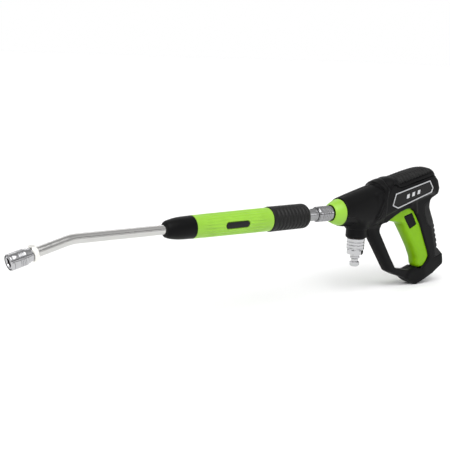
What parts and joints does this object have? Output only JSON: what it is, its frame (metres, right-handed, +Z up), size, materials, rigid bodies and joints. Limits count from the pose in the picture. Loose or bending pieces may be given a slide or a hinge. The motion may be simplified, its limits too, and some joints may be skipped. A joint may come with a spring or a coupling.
{
  "type": "pressure washer spray gun with lance",
  "caption": "Trigger spray gun for a high-pressure washer with a closed finger guard, a swivelling hose inlet, and a bent lance with a round grip and a quick coupler at its tip.",
  "frame": {"origin": "middle of the overall box of the gun with its lance fitted", "axes": "+X along the barrel line towards the back of the gun, the lance points to -X; +Y to the gun's right side; +Z up, away from the foot of the handle"},
  "size_m": [0.8119, 0.0502, 0.202],
  "materials": {
    "black_plastic": "moulded, fine matt texture",
    "soft_grip": "matt overmoulded elastomer",
    "green_plastic": "satin moulded lime green",
    "badge_metal": "bright border on a dark panel",
    "brass": "machined",
    "machined_steel": "machined",
    "seal_rubber": "smooth",
    "spring_steel": "drawn wire",
    "polished_steel": "polished",
    "satin_steel": "satin zinc",
    "grip_filler": "plain, hidden",
    "screw_steel": "blackened"
  },
  "bodies": {
    "gun": {"left_shell": "black_plastic", "right_shell": "black_plastic", "nose_collar": "green_plastic", "top_cover": "black_plastic", "top_grip_pad": "soft_grip", "rear_grip_pad": "soft_grip", "badge_left": "badge_metal", "badge_right": "badge_metal", "valve_body": "brass", "valve_seat": "machined_steel", "valve_gland": "brass", "stem_oring": "seal_rubber", "valve_spring": "spring_steel", "inlet_boss": "black_plastic", "swivel_oring": "seal_rubber", "trigger_pin": "machined_steel", "outlet_coupler_body": "polished_steel", "outlet_lock_ball_1": "polished_steel", "outlet_lock_ball_2": "polished_steel", "outlet_lock_ball_3": "polished_steel", "outlet_lock_ball_4": "polished_steel", "outlet_snap_ring": "spring_steel", "outlet_coupler_oring": "seal_rubber", "outlet_coupler_spring": "spring_steel", "shell_screw_1": "screw_steel", "shell_screw_2": "screw_steel", "shell_screw_3": "screw_steel", "shell_screw_4": "screw_steel", "shell_screw_5": "screw_steel", "shell_screw_6": "screw_steel", "shell_screw_7": "screw_steel"},
    "trigger": {"trigger": "green_plastic"},
    "lock": {"lock_button": "black_plastic"},
    "stem": {"valve_stem": "machined_steel"},
    "inlet": {"inlet_swivel": "polished_steel", "inlet_plug": "polished_steel"},
    "outlet_sleeve": {"outlet_coupler_sleeve": "polished_steel"},
    "lance": {"lance_plug": "polished_steel", "lance_tube": "polished_steel", "grip_front_cap": "black_plastic", "grip_sleeve": "green_plastic", "grip_core": "grip_filler", "grip_pad_left": "soft_grip", "grip_pad_right": "soft_grip", "grip_rear": "black_plastic", "tip_nut": "satin_steel", "tip_coupler_body": "polished_steel", "tip_lock_ball_1": "polished_steel", "tip_lock_ball_2": "polished_steel", "tip_lock_ball_3": "polished_steel", "tip_lock_ball_4": "polished_steel", "tip_snap_ring": "spring_steel", "tip_coupler_oring": "seal_rubber", "tip_coupler_spring": "spring_steel"},
    "tip_sleeve": {"tip_coupler_sleeve": "polished_steel"}
  },
  "joints": [
    {"name": "trigger_squeeze", "type": "hinge", "parent": "gun", "child": "trigger", "pos_m": [0.29064, 0, 0.05246], "axis": [0, -1, 0], "range_deg": [0, 6.5], "stiffness_Nm_per_rad": 4, "springref_deg": -17.19},
    {"name": "lock_slide", "type": "slide", "parent": "trigger", "child": "lock", "axis": [0, 1, 0], "range_m": [0, 0.0025]},
    {"name": "stem_slide", "type": "slide", "parent": "gun", "child": "stem", "axis": [1, 0, 0], "range_m": [0, 0.0019], "deforming": ["valve_spring"]},
    {"name": "inlet_swivel_turn", "type": "hinge", "parent": "gun", "child": "inlet", "pos_m": [0.20164, 0, -0.02154], "axis": [0, 0, 1], "continuous": true},
    {"name": "outlet_sleeve_slide", "type": "slide", "parent": "gun", "child": "outlet_sleeve", "axis": [1, 0, 0], "range_m": [0, 0.0035], "stiffness_N_per_m": 1500, "springref_m": -0.004, "deforming": ["outlet_coupler_spring"]},
    {"name": "lance_turn", "type": "hinge", "parent": "gun", "child": "lance", "pos_m": [0.11864, 0, 0.03646], "axis": [1, 0, 0], "continuous": true},
    {"name": "tip_sleeve_slide", "type": "slide", "parent": "lance", "child": "tip_sleeve", "axis": [0.969, 0, 0.247], "range_m": [0, 0.0035], "stiffness_N_per_m": 1200, "springref_m": -0.004, "deforming": ["tip_coupler_spring"]}
  ],
  "couplings": [
    {"joint": "stem_slide", "follows": "trigger_squeeze", "m_per_rad": 0.016}
  ]
}
